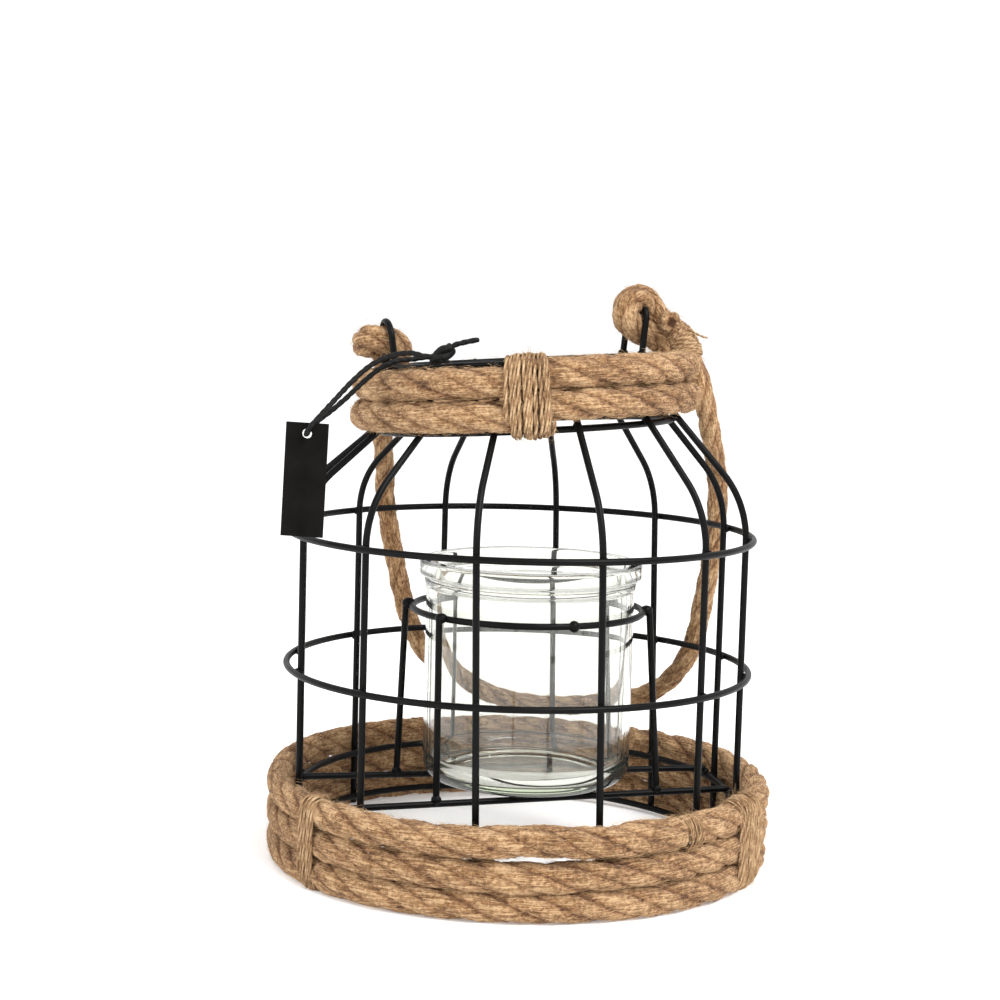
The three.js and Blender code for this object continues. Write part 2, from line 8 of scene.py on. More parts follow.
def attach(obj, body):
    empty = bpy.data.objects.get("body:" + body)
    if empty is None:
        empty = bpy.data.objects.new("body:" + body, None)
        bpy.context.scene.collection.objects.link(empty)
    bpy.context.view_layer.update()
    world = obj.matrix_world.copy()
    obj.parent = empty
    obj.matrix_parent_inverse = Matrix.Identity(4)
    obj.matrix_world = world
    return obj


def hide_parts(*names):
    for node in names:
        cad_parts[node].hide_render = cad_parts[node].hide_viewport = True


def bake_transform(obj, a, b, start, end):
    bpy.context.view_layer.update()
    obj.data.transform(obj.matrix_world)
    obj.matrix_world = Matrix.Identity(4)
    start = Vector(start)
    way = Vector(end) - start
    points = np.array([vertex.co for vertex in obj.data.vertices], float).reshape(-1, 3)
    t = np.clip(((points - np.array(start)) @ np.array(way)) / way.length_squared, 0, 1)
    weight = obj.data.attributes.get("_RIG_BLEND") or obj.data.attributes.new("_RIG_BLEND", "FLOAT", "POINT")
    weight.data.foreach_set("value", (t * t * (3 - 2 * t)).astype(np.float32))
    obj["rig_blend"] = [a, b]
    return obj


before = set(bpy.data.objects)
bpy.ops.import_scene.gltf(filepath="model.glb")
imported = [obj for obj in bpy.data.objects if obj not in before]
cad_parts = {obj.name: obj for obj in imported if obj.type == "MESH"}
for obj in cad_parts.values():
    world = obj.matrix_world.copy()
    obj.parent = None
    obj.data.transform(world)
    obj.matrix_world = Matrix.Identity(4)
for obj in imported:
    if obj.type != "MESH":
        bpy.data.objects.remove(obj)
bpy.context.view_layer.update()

MM = 0.001
TAU = 2 * math.pi
SEED = 7
rng = np.random.default_rng(SEED)

# ------------------------------------------------------------------ camera
CAMERA_AT = (-0.0099, -0.9507, 0.2589)
CAMERA_PITCH = math.radians(5.913)
CAMERA_ROLL = math.radians(1.604)
LENS_MM = 76.25
SENSOR_MM = 36
CLIP_START = 0.01


def place_camera():
    camera = bpy.data.objects.new("camera", bpy.data.cameras.new("camera"))
    bpy.context.scene.collection.objects.link(camera)
    camera.data.lens = LENS_MM
    camera.data.sensor_width = SENSOR_MM
    camera.data.clip_start = CLIP_START
    right = Vector((1, 0, 0))
    up = Vector((0, math.sin(CAMERA_PITCH), math.cos(CAMERA_PITCH)))
    back = Vector((0, -math.cos(CAMERA_PITCH), math.sin(CAMERA_PITCH)))
    x = right * math.cos(CAMERA_ROLL) + up * math.sin(CAMERA_ROLL)
    y = up * math.cos(CAMERA_ROLL) - right * math.sin(CAMERA_ROLL)
    turn = Matrix((x, y, back)).transposed().to_4x4()
    camera.matrix_world = Matrix.Translation(CAMERA_AT) @ turn
    bpy.context.scene.camera = camera


place_camera()


# ------------------------------------------------------------------ shader helpers
class Shader:
    """A new material with short ways to add and join nodes."""

    def __init__(self, name):
        self.material = bpy.data.materials.new(name)
        self.material.use_nodes = True
        self.tree = self.material.node_tree
        self.bsdf = self.tree.nodes["Principled BSDF"]
        self.out = self.tree.nodes["Material Output"]

    def node(self, kind, settings=None, **values):
        node = self.tree.nodes.new(kind)
        for key, value in (settings or {}).items():
            setattr(node, key, value)
        for key, value in values.items():
            self.put(node.inputs[key.replace("_", " ")], value)
        return node

    def put(self, socket, value):
        if hasattr(value, "is_output"):
            self.tree.links.new(value, socket)
        else:
            socket.default_value = value

    def set(self, **values):
        for key, value in values.items():
            self.put(self.bsdf.inputs[key.replace("_", " ")], value)

    def attribute(self, name, out="Vector"):
        return self.node("ShaderNodeAttribute", {"attribute_name": name}).outputs[out]

    def noise(self, vector, scale, detail=4.0, rough=0.6, stretch=(1, 1, 1), distort=0.0):
        spread = self.node("ShaderNodeMapping", Vector=vector, Scale=stretch).outputs[0]
        made = self.node("ShaderNodeTexNoise", Vector=spread, Scale=scale, Detail=detail,
                         Roughness=rough, Distortion=distort)
        return made.outputs["Fac"]

    def ramp(self, fac, *stops):
        ramp = self.node("ShaderNodeValToRGB", Fac=fac)
        points = ramp.color_ramp.elements
        while len(points) < len(stops):
            points.new(0.5)
        for point, (at, colour) in zip(points, stops):
            point.position = at
            point.color = (*colour, 1)
        return ramp.outputs["Color"]

    def math(self, operation, a, b=0.0):
        node = self.node("ShaderNodeMath", {"operation": operation})
        self.put(node.inputs[0], a)
        self.put(node.inputs[1], b)
        return node.outputs[0]

    def mix(self, fac, a, b, blend="MIX"):
        node = self.node("ShaderNodeMix", {"data_type": "RGBA", "blend_type": blend})
        self.put(node.inputs[0], fac)
        self.put(node.inputs[6], a if hasattr(a, "is_output") else (*a, 1))
        self.put(node.inputs[7], b if hasattr(b, "is_output") else (*b, 1))
        return node.outputs[2]

    def bump(self, height, strength, distance):
        made = self.node("ShaderNodeBump", Height=height, Strength=strength, Distance=distance)
        self.put(self.bsdf.inputs["Normal"], made.outputs[0])

    def position(self):
        return self.node("ShaderNodeTexCoord").outputs["Object"]


# ------------------------------------------------------------------ materials
# Painted shade: the jute colour is multiplied by these in the grooves between strands and on the slopes down
# into them.
PAINTED_GROOVE_SHADE = (0.42, 0.30, 0.20)
PAINTED_SLOPE_SHADE = (0.86, 0.80, 0.74)


def jute(name, dark, mid, light, painted_shade_strength=1.0):
    """Jute fibre that runs along the "fibre" attribute, with painted shade that darkens it where "ridge" is
    low, in the grooves between the strands.
    """
    fine_share, yarn_share, fleck_share, patch_share = 0.45, 0.55, 0.5, 0.36
    palest = [c * 1.15 for c in light]
    s = Shader(name)
    fibre = s.attribute("fibre")
    fine = s.noise(fibre, scale=1.0, detail=8.0, rough=0.75, stretch=(0.42, 2.3, 2.3), distort=0.5)
    yarn = s.noise(fibre, scale=1.0, detail=4.0, rough=0.6, stretch=(0.085, 0.85, 0.85), distort=0.9)
    fleck = s.noise(s.position(), scale=620.0, detail=4.0, rough=0.75)
    patch = s.noise(s.position(), scale=55.0, detail=4.0, rough=0.65)
    tone = s.math("ADD", s.math("MULTIPLY", fine, fine_share), s.math("MULTIPLY", yarn, yarn_share))
    for spots, share in ((fleck, fleck_share), (patch, patch_share)):
        tone = s.math("ADD", tone, s.math("MULTIPLY", s.math("SUBTRACT", spots, 0.5), share))
    colour = s.ramp(tone, (0.36, dark), (0.48, mid), (0.59, light), (0.70, palest))
    ridge = s.attribute("ridge", "Fac")
    # painted shade: the colour darkens where a strand dips into the groove between strands
    shade = s.ramp(ridge, (0.80, PAINTED_GROOVE_SHADE), (0.90, PAINTED_SLOPE_SHADE), (0.97, (1, 1, 1)))
    s.set(Base_Color=s.mix(painted_shade_strength, colour, shade, "MULTIPLY"), Roughness=0.92,
          Specular_IOR_Level=0.12, Sheen_Weight=0.12, Sheen_Roughness=0.6)
    height = s.math("ADD", s.math("MULTIPLY", fine, 0.55), s.math("MULTIPLY", yarn, 0.8))
    height = s.math("ADD", height, s.math("MULTIPLY", fleck, 0.7))
    s.bump(height, strength=1.0, distance=0.0017)
    return s.material


def hair_material():
    s = Shader("jute_hair")
    tone = s.noise(s.position(), scale=300.0, detail=2.0)
    colour = s.ramp(tone, (0.35, (0.30, 0.16, 0.07)), (0.6, (0.78, 0.54, 0.30)))
    s.set(Base_Color=colour, Roughness=0.75, Specular_IOR_Level=0.2)
    return s.material


def lacquer():
    """Black lacquered wire with faint runs, dust and worn high spots."""
    s = Shader("black_lacquer")
    place = s.position()
    cloud = s.noise(place, scale=60.0, detail=5.0, rough=0.6)
    grain = s.noise(place, scale=900.0, detail=3.0, rough=0.6)
    s.set(Base_Color=s.ramp(cloud, (0.35, (0.0014, 0.0013, 0.0012)), (0.7, (0.004, 0.004, 0.0042))),
          Roughness=s.math("ADD", s.math("MULTIPLY", cloud, 0.25), 0.26),
          Specular_IOR_Level=0.10)
    s.bump(s.math("ADD", cloud, s.math("MULTIPLY", grain, 0.5)), strength=0.25, distance=0.0005)
    return s.material


def glass():
    s = Shader("clear_glass")
    wave = s.noise(s.position(), scale=22.0, detail=2.0, rough=0.4, stretch=(1, 1, 0.35))
    s.set(Base_Color=(0.88, 0.88, 0.85, 1), Roughness=0.015, IOR=1.45,
          Transmission_Weight=0.985, Specular_IOR_Level=0.5)
    s.bump(wave, strength=0.12, distance=0.002)
    absorb = s.node("ShaderNodeVolumeAbsorption", Color=(0.80, 0.88, 0.68, 1), Density=16.0)
    s.put(s.out.inputs["Volume"], absorb.outputs[0])
    return s.material


def cord_material():
    s = Shader("black_cord")
    fibre = s.attribute("fibre")
    weave = s.noise(fibre, scale=1.0, detail=3.0, rough=0.6, stretch=(1.1, 1.6, 1.6))
    s.set(Base_Color=s.ramp(weave, (0.35, (0.0015, 0.0015, 0.0015)), (0.7, (0.009, 0.0088, 0.0085))),
          Roughness=0.5, Specular_IOR_Level=0.16)
    s.bump(weave, strength=0.6, distance=0.0005)
    return s.material


def card_material():
    s = Shader("black_card")
    place = s.position()
    pulp = s.noise(place, scale=500.0, detail=5.0, rough=0.7)
    cloud = s.noise(place, scale=45.0, detail=3.0)
    s.set(Base_Color=s.ramp(cloud, (0.3, (0.004, 0.0036, 0.0035)), (0.7, (0.010, 0.009, 0.0085))),
          Roughness=0.85, Specular_IOR_Level=0.03)
    s.bump(pulp, strength=0.35, distance=0.0003)
    return s.material


JUTE = jute("laid_jute", (0.115, 0.047, 0.016), (0.375, 0.193, 0.073), (0.75, 0.495, 0.268))
# the twine gets a weaker painted shade in the grooves between its strands
TWINE = jute("twine_jute", (0.19, 0.095, 0.038), (0.50, 0.30, 0.14), (0.80, 0.56, 0.32),
             painted_shade_strength=0.75)
HAIR = hair_material()
LACQUER = lacquer()
GLASS = glass()
CORD = cord_material()
CARD = card_material()


# ------------------------------------------------------------------ mesh helpers
def put_mesh(name, verts, faces, material, attributes=None, smooth=True):
    mesh = bpy.data.meshes.new(name)
    mesh.from_pydata(np.asarray(verts).tolist(), [], faces)
    if smooth:
        mesh.polygons.foreach_set("use_smooth", [True] * len(mesh.polygons))
    for key, value in (attributes or {}).items():
        value = np.asarray(value, dtype=np.float32)
        kind = "FLOAT_VECTOR" if value.ndim == 2 else "FLOAT"
        layer = mesh.attributes.new(key, kind, "POINT")
        layer.data.foreach_set("vector" if value.ndim == 2 else "value", value.ravel())
    mesh.materials.append(material)
    mesh.update()
    obj = bpy.data.objects.new(name, mesh)
    bpy.context.scene.collection.objects.link(obj)
    return obj


def grid_faces(rows, sides, base=0):
    i = np.arange(rows - 1)[:, None]
    k = np.arange(sides)[None, :]
    around = (k + 1) % sides
    quad = [i * sides + k, i * sides + around, (i + 1) * sides + around, (i + 1) * sides + k]
    return (np.stack(quad, -1).reshape(-1, 4) + base).tolist()


def unit(v):
    return v / np.maximum(np.linalg.norm(v, axis=-1, keepdims=True), 1e-12)


def lengths(points):
    steps = np.linalg.norm(np.diff(points, axis=0), axis=1)
    return np.concatenate([[0.0], np.cumsum(steps)])


def even(points, step):
    """The same line with evenly spaced points."""
    points = np.asarray(points, float)
    along = lengths(points)
    count = max(int(round(along[-1] / step)), 2) + 1
    at = np.linspace(0, along[-1], count)
    return np.stack([np.interp(at, along, points[:, c]) for c in range(3)], 1)


CURVE_STEPS = 24


def smooth(points, step):
    """A centripetal Catmull-Rom curve through the points, evenly spaced."""
    p = np.asarray(points, float)
    p = np.vstack([2 * p[0] - p[1], p, 2 * p[-1] - p[-2]])
    made = []
    for a, b, c, d in zip(p, p[1:], p[2:], p[3:]):
        t1 = math.sqrt(np.linalg.norm(b - a))
        t2 = t1 + math.sqrt(np.linalg.norm(c - b))
        t3 = t2 + math.sqrt(np.linalg.norm(d - c))
        t = np.linspace(t1, t2, CURVE_STEPS, endpoint=False)[:, None]
        a1 = (t1 - t) / t1 * a + t / t1 * b
        a2 = (t2 - t) / (t2 - t1) * b + (t - t1) / (t2 - t1) * c
        a3 = (t3 - t) / (t3 - t2) * c + (t - t2) / (t3 - t2) * d
        b1 = (t2 - t) / t2 * a1 + t / t2 * a2
        b2 = (t3 - t) / (t3 - t1) * a2 + (t - t1) / (t3 - t1) * a3
        made.append((t2 - t) / (t2 - t1) * b1 + (t - t1) / (t2 - t1) * b2)
    return even(np.vstack([*made, p[-2:-1]]), step)


def frames(points):
    """Tangents and two normals that turn as little as they can along the line."""
    tangent = unit(np.gradient(points, axis=0))
    spare = np.array((0.0, 0.0, 1.0)) if abs(tangent[0][2]) < 0.9 else np.array((1.0, 0.0, 0.0))
    normal = np.empty_like(points)
    n = spare
    for i, t in enumerate(tangent):
        n = unit(n - t * np.dot(n, t))
        normal[i] = n
    return tangent, normal, np.cross(tangent, normal)


def tube(points, radius, sides):
    """Vertices and faces of a round tube with flat ends."""
    _, n, b = frames(points)
    turn = np.linspace(0, TAU, sides, endpoint=False)
    radius = np.broadcast_to(radius, len(points))[:, None, None]
    ring = n[:, None] * np.cos(turn)[None, :, None] + b[:, None] * np.sin(turn)[None, :, None]
    verts = (points[:, None] + ring * radius).reshape(-1, 3)
    faces = grid_faces(len(points), sides)
    last = (len(points) - 1) * sides
    faces.append(list(range(sides))[::-1])
    faces.append(list(range(last, last + sides)))
    return verts, faces


class Pile:
    """Collects bodies into one mesh."""

    def __init__(self):
        self.verts, self.faces, self.count, self.attributes = [], [], 0, {}

    def add(self, verts, faces, **attributes):
        self.verts.append(verts)
        self.faces += [[i + self.count for i in face] for face in faces]
        self.count += len(verts)
        for key, value in attributes.items():
            self.attributes.setdefault(key, []).append(value)

    def put(self, name, material, warp=None):
        attributes = {key: np.concatenate(value) for key, value in self.attributes.items()}
        verts = np.vstack(self.verts)
        if warp:
            verts = warp(verts)
        return put_mesh(name, verts * MM, self.faces, material, attributes)


# ------------------------------------------------------------------ rope
def wander(count, every, size):
    """A smooth random run of the given size that changes every so many steps."""
    knots = rng.normal(0, size, count // every + 4)
    at = np.arange(count) / every
    i = at.astype(int)
    f = at - i
    f = f * f * (3 - 2 * f)
    return knots[i] * (1 - f) + knots[i + 1] * f


FIBRE_SHIFT = 41.0  # keeps the fibres of a rope's strands apart in the noise


def laid_rope(pile, points, radius, pitch, strands=4, sides=20, core=0.39, ends=2.0):
    """Adds a laid rope along the points. Its strands go round it; its fibres run along it.

    "core" is how far a strand's centre lies from the rope's own, as a share of the radius, and
    "ends" is the length over which the rope rounds off at each end.
    """
    points = np.asarray(points, float)
    along = lengths(points)
    count = len(points)
    _, n, b = frames(points)
    radius = np.broadcast_to(radius, count).astype(float)
    reach = np.minimum(along, along[-1] - along)
    radius = radius * np.sqrt(np.clip(0.35 + 0.65 * reach / max(ends, 1e-6), 0, 1))
    turn = TAU * along / pitch
    start = rng.uniform(0, TAU)
    psi = np.linspace(0, TAU, sides, endpoint=False)
    for strand in range(strands):
        at = turn + start + TAU * strand / strands + wander(count, 14, 0.07)
        centre = points + (radius * core)[:, None] * (n * np.cos(at)[:, None] + b * np.sin(at)[:, None])
        size = radius * (1 - core) * (1 + wander(count, 9, 0.035))
        rough = 1 + rng.normal(0, 0.03, (count, sides))
        ring = n[:, None] * np.cos(psi)[None, :, None] + b[:, None] * np.sin(psi)[None, :, None]
        verts = centre[:, None] + ring * (size[:, None] * rough)[..., None]
        v = psi[None, :] + (core / (1 - core) * turn)[:, None]
        thick = radius[:, None]
        fibre = np.stack([np.broadcast_to(along[:, None], v.shape),
                          thick * np.cos(v), thick * np.sin(v)], -1) + strand * FIBRE_SHIFT
        ridge = np.linalg.norm(verts - points[:, None], axis=-1) / radius[:, None]
        faces = grid_faces(count, sides)
        last = (count - 1) * sides
        faces.append(list(range(sides))[::-1])
        faces.append(list(range(last, last + sides)))
        pile.add(verts.reshape(-1, 3), faces, fibre=fibre.reshape(-1, 3), ridge=ridge.ravel())


HAIR_STEPS, HAIR_SIDES = 5, 3


def hair_on(pile, points, radius, per_mm, reach=(1.5, 7.0), lift=0.9, thick=0.06):
    """Adds loose fibres that lie along the rope and stand a little off it."""
    points = np.asarray(points, float)
    tangent, n, b = frames(points)
    count = int(lengths(points)[-1] * per_mm)
    radius = np.broadcast_to(radius, len(points))
    at = rng.integers(1, len(points) - 1, count)
    turn = rng.uniform(0, TAU, (count, 1))
    out = n[at] * np.cos(turn) + b[at] * np.sin(turn)
    side = np.cross(tangent[at], out)
    length = rng.uniform(*reach, (count, 1))
    way = tangent[at] * rng.choice((-1, 1), (count, 1)) + side * rng.normal(0, 0.45, (count, 1))
    rise = np.abs(rng.normal(0, lift, (count, 1)))
    curl = side * rng.normal(0, 0.9, (count, 1))
    root = points[at] + out * (radius[at, None] * 0.94)
    wide = thick * rng.uniform(0.6, 1.4, count)
    steps, sides = HAIR_STEPS, HAIR_SIDES
    psi = np.linspace(0, TAU, sides, endpoint=False)
    rows = []
    for step in range(steps):
        t = step / (steps - 1)
        line = root + way * length * t + out * (rise * math.sin(t * 2.2)) + curl * t * t
        size = (wide * (1 - 0.6 * t))[:, None, None]
        ring = out[:, None] * np.cos(psi)[None, :, None] - side[:, None] * np.sin(psi)[None, :, None]
        rows.append(line[:, None] + ring * size)
    verts = np.stack(rows, 1).reshape(-1, 3)
    tip = (steps - 1) * sides
    one = grid_faces(steps, sides) + [list(range(sides))[::-1], list(range(tip, tip + sides))]
    faces = [[v + k * steps * sides for v in face] for k in range(count) for face in one]
    pile.add(verts, faces)


def rope_piece(name, points, radius, pitch, hair, warp=None, **more):
    """A piece of jute rope and, as a mesh of its own, so many loose hairs per mm of it."""
    pile = Pile()
    laid_rope(pile, points, radius, pitch, **more)
    obj = pile.put(name, JUTE, warp)
    fluff = Pile()
    hair_on(fluff, points, radius, hair)
    return obj, fluff.put(name + "_hair", HAIR, warp)


def belongs(obj, body, slot, *nodes):
    """The piece rides on a body and may stand for nodes of the CAD, which it hides. The slot argument is not
    used.
    """
    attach(obj, body)
    if nodes:
        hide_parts(*nodes)


# ------------------------------------------------------------------ cords and the handle rope
HANDLE_D = 9.8
HANDLE_ROUTE = [
    (-69, 27.5, 231), (-67.5, 38, 229.5), (-66.5, 49, 223), (-66.5, 56.5, 211.5), (-67, 62, 199),
    (-67.2, 68, 187), (-67.3, 76.5, 175.5), (-67, 88, 162), (-66.4, 90.5, 149), (-64, 92.3, 134),
    (-61, 94.3, 119), (-57.8, 96.3, 104), (-53.8, 98.8, 89), (-47.5, 102, 75), (-37, 106, 63),
    (-22, 110, 53.5), (-3, 112.4, 47), (17, 111.5, 45.2), (38, 106, 46.8), (57, 96.6, 51.5),
    (71.5, 86.5, 60), (81, 77.6, 72.3), (87, 71, 88), (90, 67.3, 107), (92.8, 63.2, 128),
    (94.4, 60.6, 147), (94.1, 59, 164), (91.6, 55, 179), (88.2, 48.5, 192), (85.2, 42, 204),
    (81.8, 40.5, 216), (76.8, 43, 226), (71, 44.5, 232.5),
]
HANDLE_TRIM = 6.7  # a seizing hides this much of each end
HANDLE_STEP = 1.2
HANDLE_PITCH = 52.5
TAG_CORD_D = 2.4
CORD_STEP = 0.5
CORD_PITCH = 7.0
TAG_CORD_ROUTE = [
    (-43.6, -57, 226.4), (-50, -54, 227.4), (-58, -52, 225.8),
    (-66, -53.5, 221.8), (-73.5, -57, 215), (-80.5, -63, 207), (-86.5, -68, 200),
    (-90.2, -69.7, 195.6), (-91.4, -69.6, 193.2), (-91.4, -66, 193), (-91.4, -62.9, 193.2),
    (-90, -60.5, 195.4), (-86.5, -58, 198.8), (-81, -55, 203.2), (-75, -52, 208.8),
    (-69, -49.5, 214.8), (-62.8, -47.5, 220), (-56, -45.3, 223.4), (-49, -43.4, 224.4),
    (-42, -41.6, 225.4), (-35.6, -43.6, 224.6), (-32.1, -47.3, 221.8), (-33.6, -50.2, 218.3),
    (-35.7, -53.1, 220.4), (-36.4, -53.7, 221.8),
]
KNOT_AT = np.array((-36, -57, 227.2))
KNOT_LEAN = 0.65
KNOT_TAIL = [(-34.5, -57.2, 228.6), (-31, -57.5, 231.2), (-26, -58, 232.8), (-20.5, -58.5, 234)]
KNOT_LEAD = [(-45, -56.8, 226.6), (-41.5, -57.4, 226.2), (-38.5, -57.2, 226.8), (-36, -57, 227.6)]
KNOT_HALF = 6.0


def waxed(pile, route):
    """Adds a thin, nearly smooth cord of two plies."""
    points = smooth(route, CORD_STEP)
    laid_rope(pile, points, TAG_CORD_D / 2, CORD_PITCH, strands=2, sides=12, core=0.16, ends=0.8)


def build_tag_cord():
    pile = Pile()
    waxed(pile, TAG_CORD_ROUTE)
    cord = pile.put("waxed_tag_cord", CORD)

    pile = Pile()
    waxed(pile, KNOT_TAIL)
    waxed(pile, KNOT_LEAD)
    share = np.linspace(-1, 1, 40)
    axis = np.array((math.cos(KNOT_LEAN), 0, math.sin(KNOT_LEAN)))
    girth = 1.3 + 2.1 * np.sqrt(1 - share ** 2) * (1 + 0.25 * share)
    spine = KNOT_AT + share[:, None] * axis * KNOT_HALF
    laid_rope(pile, spine, girth, pitch=27.0, strands=3, sides=14, core=0.46, ends=0.5)
    knot = pile.put("waxed_cord_knot", CORD)
    belongs(knot, "cage", "black_cord", "tag_cord_knot")
    belongs(cord, "cage", "black_cord", "tag_cord")
    path = smooth(TAG_CORD_ROUTE, 2.0) * MM
    float(lengths(path)[-1])


def build_handle():
    fine = smooth(HANDLE_ROUTE, HANDLE_STEP)
    keep = np.linalg.norm(fine - fine[0], axis=1) > HANDLE_TRIM
    keep &= np.linalg.norm(fine - fine[-1], axis=1) > HANDLE_TRIM
    points = fine[keep]
    rope, fluff = rope_piece("jute_handle", points, HANDLE_D / 2, HANDLE_PITCH, hair=5.0)
    for obj in (rope, fluff):
        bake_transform(obj, "cage", "handle", start=(0, 0, 0.2265), end=(0, 0, 0.204))
    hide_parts("handle_rope")
    path = points[::4] * MM
    tuple(path[0])
    float(lengths(points * MM)[-1])


build_tag_cord()
build_handle()

# ------------------------------------------------------------------ wire cage
WIRE_R = 1.5
RIB_R, RIB_FOOT_Z, RIB_COUNT, RIB_FIRST = 101.2, 3.0, 12, -10
HOOPS = {"upper_hoop": (104.5, 146.5), "lower_hoop": (104.5, 85.8),
         "base_ring_upper": (97.9, 28.5), "base_ring_lower": (97.9, 5.0)}
DOME_R, DOME_BEND = 40.0, math.radians(45)
NECK_R, NECK_BEND_R, NECK_TOP_Z = 63.9, 8.0, 223.5
TOP_RING = (60.6, 223.0)
COLLAR_RING = (64.8, 194.8)
PIVOT_Z = 209.0
TILT = np.array(Matrix.Rotation(-0.025, 3, "X") @ Matrix.Rotation(-0.07, 3, "Y"))
# Ribs that stand askew: degrees turned at the foot and at the top.
RIB_SKEW = {0: (1.25, -1.75), 1: (0.6, -2.0), 5: (-2.9, 0.6), 6: (-2.2, 0.6), 7: (1.4, 1.4)}
LOWER_RING_TILT = math.radians(1.7)
WIRE_SIDES = 14
CIRCLE = np.arange(0, 360, 2.5)


def polar(angle, r, z):
    a = np.radians(np.asarray(angle, float))
    return np.stack(np.broadcast_arrays(r * np.sin(a), -r * np.cos(a), z), -1)


def askew(points):
    lift = np.array((0, 0, PIVOT_Z))
    return (np.asarray(points, float) - lift) @ TILT.T + lift


def rib_place(number):
    """Where a rib's own radius and height come to lie round the cage."""
    angle = RIB_FIRST + number * 360 / RIB_COUNT
    foot_turn, top_turn = RIB_SKEW.get(number, (0.0, 0.0))

    def at(r, z):
        return polar(angle + foot_turn + (top_turn - foot_turn) * z / NECK_TOP_Z, r, z)

    return at


def rib_line(at):
    end_r = RIB_R - DOME_R * (1 - math.cos(DOME_BEND))
    hoop_z = HOOPS["upper_hoop"][1]
    knee_z = hoop_z + DOME_R * math.sin(DOME_BEND) + (end_r - NECK_R) / math.tan(DOME_BEND)
    stretch = (askew(at(NECK_R, knee_z))[2] - hoop_z) / (knee_z - hoop_z)
    line = [at(RIB_R, z) for z in np.linspace(RIB_FOOT_Z, hoop_z, 6)]
    for turn in np.linspace(0, DOME_BEND, 12)[1:]:
        r = RIB_R - DOME_R * (1 - math.cos(turn))
        line.append(at(r, hoop_z + DOME_R * math.sin(turn) * stretch))
    tangent = NECK_BEND_R * math.tan(DOME_BEND / 2)
    for turn in np.linspace(DOME_BEND, 0, 7):
        r = NECK_R + NECK_BEND_R * (1 - math.cos(turn))
        line.append(askew(at(r, knee_z + tangent - NECK_BEND_R * math.sin(turn))))
    line.append(askew(at(NECK_R, NECK_TOP_Z)))
    return even(line, 2.0)


def wire(name, points, node):
    """A wire whose ends are slightly rounded."""
    rounding, end_share = 0.3, 0.72
    points = np.vstack([points[0], points[0] + (points[1] - points[0]) * rounding, points[1:-1],
                        points[-1] + (points[-2] - points[-1]) * rounding, points[-1]])
    size = np.full(len(points), WIRE_R)
    size[[0, -1]] = WIRE_R * end_share
    verts, faces = tube(points, size, WIRE_SIDES)
    belongs(put_mesh(name, verts * MM, faces, LACQUER), "cage", "black_wire", node)


def ring_wire(name, points, node):
    """A closed ring from an open row of points round it."""
    sides = WIRE_SIDES
    looped = np.vstack([points[-1:], points, points[:1]])
    tangent = unit(looped[2:] - looped[:-2])
    up = np.array((0.0, 0.0, 1.0))
    b = unit(np.cross(tangent, up))
    n = np.cross(b, tangent)
    turn = np.linspace(0, TAU, sides, endpoint=False)
    ring = n[:, None] * np.cos(turn)[None, :, None] - b[:, None] * np.sin(turn)[None, :, None]
    verts = (points[:, None] + ring * WIRE_R).reshape(-1, 3)
    rows = len(points)
    faces = grid_faces(rows, sides)
    last = (rows - 1) * sides
    faces += [[last + k, last + (k + 1) % sides, (k + 1) % sides, k] for k in range(sides)]
    belongs(put_mesh(name, verts * MM, faces, LACQUER), "cage", "black_wire", node)


# Half sizes of the weld beads
HOOP_BEAD = (1.7, 1.7, 2.0)
TOP_BEAD = (2.0, 2.0, 1.7)
CROOK_BEAD = (1.9, 1.9, 1.9)
EYE_BEAD = (2.2, 2.2, 1.9)
SUPPORT_BEAD = (2.2, 2.2, 1.8)
FOOT_BEAD = (2.5, 2.5, 2.2)
HEAD_BEAD = (2.9, 2.7, 2.5)
RING_BEAD = (2.9, 2.5, 2.6)
beads = Pile()


def weld(at, size):
    """Adds a small lump of weld, which the lacquer covers like the wires."""
    lat = np.linspace(0, math.pi, 7)
    lon = np.linspace(0, TAU, 10, endpoint=False)
    scale = np.array(size) * rng.uniform(0.85, 1.15, 3)
    verts = [at + scale * np.array((math.sin(a) * math.cos(o), math.sin(a) * math.sin(o), math.cos(a)))
             for a in lat for o in lon]
    beads.add(np.array(verts), grid_faces(len(lat), len(lon)))


def build_cage():
    for i in range(RIB_COUNT):
        on_rib = rib_place(i)
        wire(f"round_rib_{i + 1:02d}", rib_line(on_rib), f"rib_{i + 1:02d}")
        for name, (r, z) in HOOPS.items():
            if name != "base_ring_lower":
                weld(on_rib((r + RIB_R) / 2, z), HOOP_BEAD)
        weld(askew(on_rib((NECK_R + TOP_RING[0]) / 2, TOP_RING[1])), TOP_BEAD)
        weld(askew(on_rib(COLLAR_RING[0] + 1.5, COLLAR_RING[1] + 1.2)), CROOK_BEAD)
    for name, (r, z) in HOOPS.items():
        points = polar(CIRCLE, r, z)
        if name == "base_ring_lower":
            points[:, 2] -= points[:, 0] * math.sin(LOWER_RING_TILT)
        ring_wire("round_" + name, points, name)
    ring_wire("round_top_ring", askew(polar(CIRCLE, *TOP_RING)), "top_ring")
    ring_wire("round_collar_ring", askew(polar(CIRCLE, *COLLAR_RING)), "collar_ring")


EYE_HALF, EYE_LEAN, EYE_STEPS = 7.0, 2.6, 17
EYES = {"left": (-90, 239.3, 20), "right": (125, 250.0, 0)}
EYE_WELD_RISE = np.array((0, 0, 0.6))


